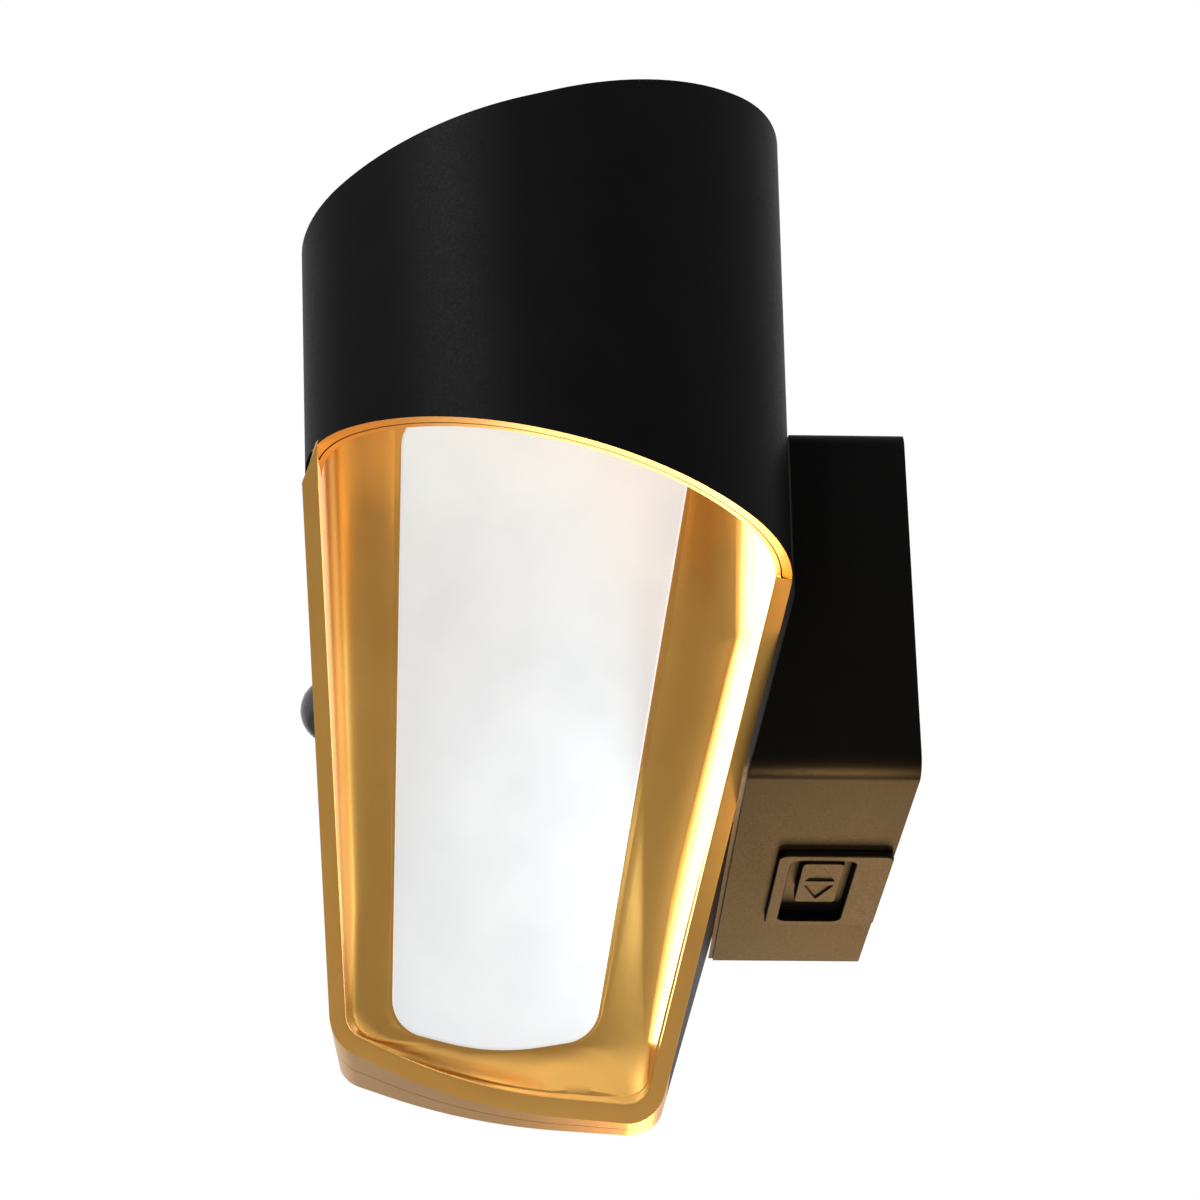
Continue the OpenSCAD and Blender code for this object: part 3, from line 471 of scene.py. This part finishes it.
def path_down(points, radii):
    """An open path through points, rounded at all but its ends, with as many steps on each side."""
    arcs = [[points[0]]]
    for i in range(1, len(points) - 1):
        arcs.append(corner(points[i - 1], points[i], points[i + 1], radii[i - 1]))
    arcs.append([points[-1]])
    path = list(arcs[0])
    for arc in arcs[1:]:
        start = path[-1]
        for k in range(1, SIDE_STEPS):
            path.append(start.lerp(arc[0], k / SIDE_STEPS))
        path.extend(arc)
    return path


def front_y(z):
    return Y_FRONT + (SLEEVE_FRONT_Z - z) * math.tan(FRONT_LEAN)


def rear_y(z):
    return Y_REAR - max(0, BEND_REAR_Z - z) * math.tan(REAR_LEAN)


def rim_x(z):
    return RIM_X + (z - SLEEVE_Z) * math.tan(RIM_LEAN)


def back_s(z):
    return (z - SLEEVE_Z) / math.cos(BACK_LEAN)


def sleeve_edge_z(y):
    return SLEEVE_Z - (y - Y_MID) * SLEEVE_SLOPE


def rim_path():
    """Inner edge of the right opening's rim, from its front top down round its floor to its rear top."""
    high = 2 * CEILING_Z
    outline = moved_in([Vector(p) for p in (
        (front_y(FOOT_FRONT_Z), FOOT_FRONT_Z),
        FOOT_KEEL,
        (rear_y(FOOT_REAR_Z), FOOT_REAR_Z),
        (Y_REAR, BEND_REAR_Z),
        (Y_REAR, high),
        (front_y(high), high),
    )], LINING_IN)
    foot = FOOT_R - LINING_IN
    low = outline[0]
    top_front = low.lerp(outline[5], (CEILING_Z - low.y) / (outline[5].y - low.y))
    top_rear = Vector((outline[4].x, CEILING_Z))
    flat = path_down([top_front, *outline[:4], top_rear], [foot, KEEL_R - LINING_IN, foot, foot])
    made = []
    for p in flat:
        x = rim_x(p.y)
        made.append(Vector((min(x, SLEEVE_FLAT_X) if p.y > BEND_REAR_Z else x, p.x, p.y)))
    return made


def on_back(point, out=0.0):
    """A point in a back plate's plane, as a place in the lamp."""
    turn = BACK_LEAN
    return Vector((
        BACK_X + out * math.cos(turn) + point.y * math.sin(turn),
        point.x,
        SLEEVE_Z - out * math.sin(turn) + point.y * math.cos(turn),
    ))


def plate_path():
    """Edge between the back plate and the linings, matched to the rim's path."""
    top = back_s(CEILING_Z)
    rear_top = Y_REAR - LINING_IN - REAR_DRAFT_TOP
    points = [Vector(p) for p in (
        (front_y(CEILING_Z) + LINING_IN, top),
        (front_y(BACK_FRONT_Z) + LINING_IN, back_s(BACK_FRONT_Z)),
        (FOOT_KEEL[0], back_s(BACK_KEEL_Z)),
        (rear_y(BACK_REAR_Z) - LINING_IN - REAR_DRAFT_FOOT, back_s(BACK_REAR_Z)),
        (rear_top, back_s(BEND_REAR_Z)),
        (rear_top, top),
    )]
    return [on_back(p) for p in path_down(points, [FOOT_R, KEEL_R / 2, FOOT_R, FOOT_R])]


def diffuser_y1(s):
    return Y_REAR - DIFFUSER_REAR - (DIFFUSER_TOP - s) * DIFFUSER_LEAN


def hole_path():
    """Edge of the diffuser's hole, matched to the rim's path, with a slight bend halfway up its rear."""
    foot = back_s(BACK_REAR_Z) + DIFFUSER_SILL
    width = diffuser_y1(foot) - DIFFUSER_Y0
    top = back_s(CEILING_Z)
    middle = back_s(BEND_REAR_Z)
    points = [Vector(p) for p in (
        (DIFFUSER_Y0, top),
        (DIFFUSER_Y0, back_s(BACK_FRONT_Z) + DIFFUSER_SILL),
        (DIFFUSER_Y0 + width / 2, back_s(BACK_KEEL_Z) + DIFFUSER_SILL),
        (diffuser_y1(foot), foot),
        (diffuser_y1(middle) + DIFFUSER_BEND, middle),
        (diffuser_y1(top), top),
    )]
    radii = [DIFFUSER_R, width * KEEL_CURVE, DIFFUSER_R, DIFFUSER_R]
    return [on_back(p) for p in path_down(points, radii)]


def folded(rim, edge, hole):
    """A row of points from the rim down the lining, through a soft fold, to the diffuser's hole."""
    wall = rim - edge
    plate = hole - edge
    reach = min(FOLD_R, FOLD_OF_WALL * wall.length, FOLD_OF_PLATE * plate.length)
    start = edge + wall.normalized() * reach
    end = edge + plate.normalized() * reach
    first = rim.lerp(edge, min(SKIN_START / wall.length, SKIN_START_OF_WALL))
    row = [first.lerp(start, i / WALL_ROWS) for i in range(WALL_ROWS)]
    for i in range(FOLD_ROWS + 1):
        part = i / FOLD_ROWS
        row.append(start.lerp(edge, part).lerp(edge.lerp(end, part), part))
    row.extend(end.lerp(hole, (i + 1) / PLATE_ROWS) for i in range(PLATE_ROWS))
    return row


def lining_mesh():
    """The right opening's lining as one closed, softly folded sheet."""
    rows = [folded(*three) for three in zip(rim_path(), plate_path(), hole_path())]
    count = len(rows[0])
    mesh = bmesh.new()
    grid = [[mesh.verts.new(p) for p in row] for row in rows]
    for first, second in zip(grid, grid[1:]):
        for i in range(count - 1):
            mesh.faces.new((first[i], first[i + 1], second[i + 1], second[i]))
    mesh.normal_update()
    middle = on_back(Vector((Y_MID, 0)), FOLD_R)
    centre = grid[len(grid) // 2][count - 1]
    if centre.normal.dot(middle - centre.co) < 0:
        bmesh.ops.reverse_faces(mesh, faces=mesh.faces)
        mesh.normal_update()
    lifts = [SKIN_LIFT] * count
    lifts[0] = -SKIN_SINK
    lifts[-1] = -SKIN_SINK
    moves = [(v, v.normal * lift) for line in grid for v, lift in zip(line, lifts)]
    for v, move in moves:
        v.co += move
    bmesh.ops.solidify(mesh, geom=mesh.faces[:], thickness=SKIN_T)
    bmesh.ops.transform(mesh, matrix=Matrix.Scale(MM, 4), verts=mesh.verts)
    return mesh


def cad_mesh(node):
    """A copy of a node's mesh with whole flat faces."""
    mesh = bmesh.new()
    mesh.from_mesh(NODES[node].data)
    bmesh.ops.remove_doubles(mesh, verts=mesh.verts, dist=MERGE_MM * MM)
    bmesh.ops.dissolve_limit(mesh, angle_limit=FLAT_ANGLE, verts=mesh.verts, edges=mesh.edges)
    return mesh


def tucked(mesh):
    """Draws the openings' upper front corners in under the sleeve's rounded corners."""
    cut = Vector((0, Y_MID, SLEEVE_Z - TUCK_H)) * MM
    geometry = mesh.verts[:] + mesh.edges[:] + mesh.faces[:]
    bmesh.ops.bisect_plane(mesh, geom=geometry, plane_co=cut, plane_no=(0, SLEEVE_SLOPE, 1))
    for v in mesh.verts:
        x, y, z = v.co / MM
        part = 1 - (sleeve_edge_z(y) - z) / TUCK_H
        past = abs(x) - SLEEVE_FLAT_X
        if 0 < part < TUCK_TOP and 0 < past < TUCK_REACH:
            least = SLEEVE_CORNER_R - math.sqrt(SLEEVE_CORNER_R ** 2 - past ** 2)
            short = front_y(z) + least - y
            if TUCK_LEAST < short < least + TUCK_LEAST:
                v.co.y += short * min(part, 1.0) * MM
    return mesh


def softened(mesh, side):
    """Rounds the inner edge of an opening's lip."""
    out = Vector((side * math.cos(RIM_LEAN), 0, -math.sin(RIM_LEAN)))
    centre = Vector((0, Y_MID, LIP_CENTRE_Z)) * MM
    edges = []
    for edge in mesh.edges:
        lips = [face for face in edge.link_faces if face.normal.dot(out) > ALIKE]
        others = [face for face in edge.link_faces if face not in lips]
        if len(lips) == 1 and len(others) == 1:
            inward = centre - (edge.verts[0].co + edge.verts[1].co) / 2
            inward.x = 0
            if others[0].normal.dot(inward) > 0:
                edges.append(edge)
    bmesh.ops.bevel(mesh, geom=edges, offset=LIP_ROUND * MM, offset_type="OFFSET", segments=LIP_STEPS,
                    profile=LIP_PROFILE, affect="EDGES", clamp_overlap=True)
    return mesh


def gild_edge(made, gold):
    """Gives the sleeve's cut lower edge the lining's gold."""
    made.data.materials.append(gold)
    down = Vector((0, -SLEEVE_SLOPE, -1)).normalized()
    for face in made.data.polygons:
        if face.normal.dot(down) > ALIKE:
            face.material_index = 1


def piece(name, meshes, material, body, nodes):
    """One object made of closed meshes, which stands for CAD nodes."""
    points = []
    faces = []
    for mesh in meshes:
        start = len(points)
        mesh.verts.index_update()
        points.extend(v.co.copy() for v in mesh.verts)
        for face in mesh.faces:
            faces.append([start + v.index for v in face.verts])
        mesh.free()
    data = bpy.data.meshes.new(name)
    data.from_pydata(points, [], faces)
    data.materials.append(material)
    data.shade_smooth()
    data.set_sharp_from_angle(angle=SHARP_ANGLE)
    made = bpy.data.objects.new(name, data)
    bpy.context.scene.collection.objects.link(made)
    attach(made, body)
    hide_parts(*nodes)
    return made


def bevelled(made, width_mm, segments):
    modifier = made.modifiers.new("edges", "BEVEL")
    modifier.width = width_mm * MM
    modifier.segments = segments
    modifier.limit_method = "ANGLE"
    modifier.angle_limit = BEVEL_ANGLE
    modifier.harden_normals = True


def mirrored(mesh):
    bmesh.ops.transform(mesh, matrix=Matrix.Scale(-1, 4, (1, 0, 0)), verts=mesh.verts)
    bmesh.ops.reverse_faces(mesh, faces=mesh.faces)
    return mesh


def cells_mesh():
    """Solar cells with clipped corners, under the sloping glass."""
    mesh = bmesh.new()
    pitch = (CELL_ROW_L + CELL_GAP) / CELL_COUNT
    w = (pitch - CELL_GAP) / 2
    d = CELL_D / 2
    c = CELL_CHAMFER
    outline = [
        (-w + c, -d), (w - c, -d), (w, -d + c), (w, d - c),
        (w - c, d), (-w + c, d), (-w, d - c), (-w, -d + c),
    ]
    for i in range(CELL_COUNT):
        x = (i - (CELL_COUNT - 1) / 2) * pitch
        rings = []
        for depth in (CELL_TOP + CELL_T, CELL_TOP):
            ring = [(x + p[0], Y_MID + p[1], TOP_Z + p[1] * TOP_SLOPE - depth) for p in outline]
            rings.append([mesh.verts.new(Vector(p) * MM) for p in ring])
        low, high = rings
        mesh.faces.new(high)
        mesh.faces.new(list(reversed(low)))
        for k in range(len(outline)):
            n = (k + 1) % len(outline)
            mesh.faces.new((low[k], low[n], high[n], high[k]))
    return mesh


def dome_mesh():
    """The sensor's dome as a ball of small crowned facets, half sunk in its lens."""
    mesh = bmesh.new()
    bmesh.ops.create_icosphere(mesh, subdivisions=DOME_STEPS, radius=DOME_R)
    bmesh.ops.inset_individual(mesh, faces=mesh.faces[:], thickness=FACET_GROOVE, depth=FACET_CROWN)
    place = Vector((0, front_y(DOME_Z), DOME_Z)) * MM
    turn = Matrix.Rotation(FRONT_LEAN, 4, "X")
    sunk = Matrix.Translation((0, DOME_R - DOME_OUT, 0))
    matrix = Matrix.Translation(place) @ turn @ Matrix.Scale(MM, 4) @ sunk
    bmesh.ops.transform(mesh, matrix=matrix, verts=mesh.verts)
    return mesh


def make_pieces(materials):
    def stand_in(name, meshes, slot, node, body="lamp"):
        return piece(name, meshes, materials[slot], body, [node])

    shell = stand_in("shell", [tucked(cad_mesh("outer_shell"))], "black_paint", "outer_shell")
    gild_edge(shell, materials["gold"])
    bevelled(shell, SHELL_EDGE_MM, SHELL_EDGE_STEPS)
    for name, node, slot, width_mm, steps, body in COPIES:
        copy = stand_in(name, [cad_mesh(node)], slot, node, body)
        bevelled(copy, width_mm, steps)
    for name, side, sheet in (("right", 1, lining_mesh()), ("left", -1, mirrored(lining_mesh()))):
        node = "reflector_" + name
        tray = softened(tucked(cad_mesh(node)), side)
        stand_in("lining_" + name, [tray, sheet], "gold", node)
    stand_in("cells", [cells_mesh()], "silicon", "solar_cells")
    stand_in("dome", [cad_mesh("sensor_lens"), dome_mesh()], "lens_plastic", "sensor_lens")


def make_floor():
    half = FLOOR_SIDE / 2
    corners = [
        (-half, -half, FLOOR_Z),
        (half, -half, FLOOR_Z),
        (half, half, FLOOR_Z),
        (-half, half, FLOOR_Z),
    ]
    mesh = bpy.data.meshes.new("floor")
    mesh.from_pydata(corners, [], [(0, 1, 2, 3)])
    mesh.materials.append(
        surface("floor", FLOOR_COLOUR, FLOOR_COLOUR, FLOOR_ROUGH, FLOOR_GRAIN_MM, FLOOR_RELIEF_MM))
    floor = bpy.data.objects.new("floor", mesh)
    bpy.context.scene.collection.objects.link(floor)


def make_world():
    """Soft studio light, with white behind the object and in its reflections."""
    world = bpy.data.worlds.new("studio")
    bpy.context.scene.world = world
    world.use_nodes = True
    tree = world.node_tree
    tree.nodes.clear()
    path = add_node(tree, "ShaderNodeLightPath")
    first = add_node(tree, "ShaderNodeMath", operation="MAXIMUM")
    link(tree, path.outputs["Is Camera Ray"], first.inputs[0])
    link(tree, path.outputs["Is Glossy Ray"], first.inputs[1])
    second = add_node(tree, "ShaderNodeMath", operation="MAXIMUM")
    link(tree, first.outputs[0], second.inputs[0])
    link(tree, path.outputs["Is Transmission Ray"], second.inputs[1])
    shown = add_node(tree, "ShaderNodeBackground")
    shown.inputs["Color"].default_value = WHITE
    shown.inputs["Strength"].default_value = SHOWN_STRENGTH
    fill = add_node(tree, "ShaderNodeBackground")
    fill.inputs["Color"].default_value = WHITE
    fill.inputs["Strength"].default_value = FILL_STRENGTH
    mix = add_node(tree, "ShaderNodeMixShader")
    out = add_node(tree, "ShaderNodeOutputWorld")
    link(tree, second.outputs[0], mix.inputs["Fac"])
    link(tree, fill.outputs[0], mix.inputs[1])
    link(tree, shown.outputs[0], mix.inputs[2])
    link(tree, mix.outputs[0], out.inputs["Surface"])


def area_light(name, at, towards, size, watts, colour, roll=0.0, spread_deg=WIDE):
    """A lamp that the camera doesn't see."""
    data = bpy.data.lights.new(name, "AREA")
    data.shape = "RECTANGLE"
    data.size = size[0]
    data.size_y = size[1]
    data.energy = watts
    data.color = colour
    data.spread = math.radians(spread_deg)
    lamp = bpy.data.objects.new(name, data)
    lamp.location = at
    facing = (Vector(towards) - Vector(at)).to_track_quat("-Z", "Y")
    lamp.rotation_euler = (facing @ Quaternion((0, 0, 1), math.radians(roll))).to_euler()
    lamp.visible_camera = False
    bpy.context.scene.collection.objects.link(lamp)


def diffuser_lights(side):
    for name, y, s, out, size, watts, roll in GLOWS:
        spot = Vector((y, s))
        at = on_back(spot, out)
        towards = on_back(spot, out + GLOW_AHEAD)
        for place in (at, towards):
            place.x *= side
        area_light(name, at * MM, towards * MM, size, watts, GLOW_COLOUR, side * roll)


def lip_light(side):
    x = side * (rim_x(LIP_GLOW_Z) - LIP_GLOW_IN)
    at = Vector((x, LIP_GLOW_Y, LIP_GLOW_Z)) * MM
    towards = Vector((x, Y_FRONT, LIP_GLOW_Z)) * MM
    lean = side * math.degrees(RIM_LEAN)
    area_light("glow_lip", at, towards, LIP_GLOW_SIZE, LIP_GLOW_WATTS, LIP_GLOW_COLOUR, lean)


def sleeve_lights(side):
    slope = -side * math.degrees(math.atan(SLEEVE_SLOPE))
    for name, (x, y, z), size, watts in SLEEVE_GLOWS:
        at = Vector((side * x, y, z)) * MM
        towards = Vector((0, y, z)) * MM
        area_light(name, at, towards, size, watts, COOL, slope)


def make_lights():
    for name, at, towards, size, watts, colour, spread_deg in LAMPS:
        area_light(name, at, towards, size, watts, colour, spread_deg=spread_deg)
    for side in (-1, 1):
        diffuser_lights(side)
        lip_light(side)
        sleeve_lights(side)


def main():
    make_camera()
    slots = {row["node"]: row["material_slot"] for row in frame["record"]["subparts"]}
    materials = make_materials()
    for node in NODES:
        paint(node, materials[slots[node]])
    make_pieces(materials)
    make_floor()
    make_world()
    make_lights()
    bpy.context.scene.view_settings.view_transform = "Standard"


main()
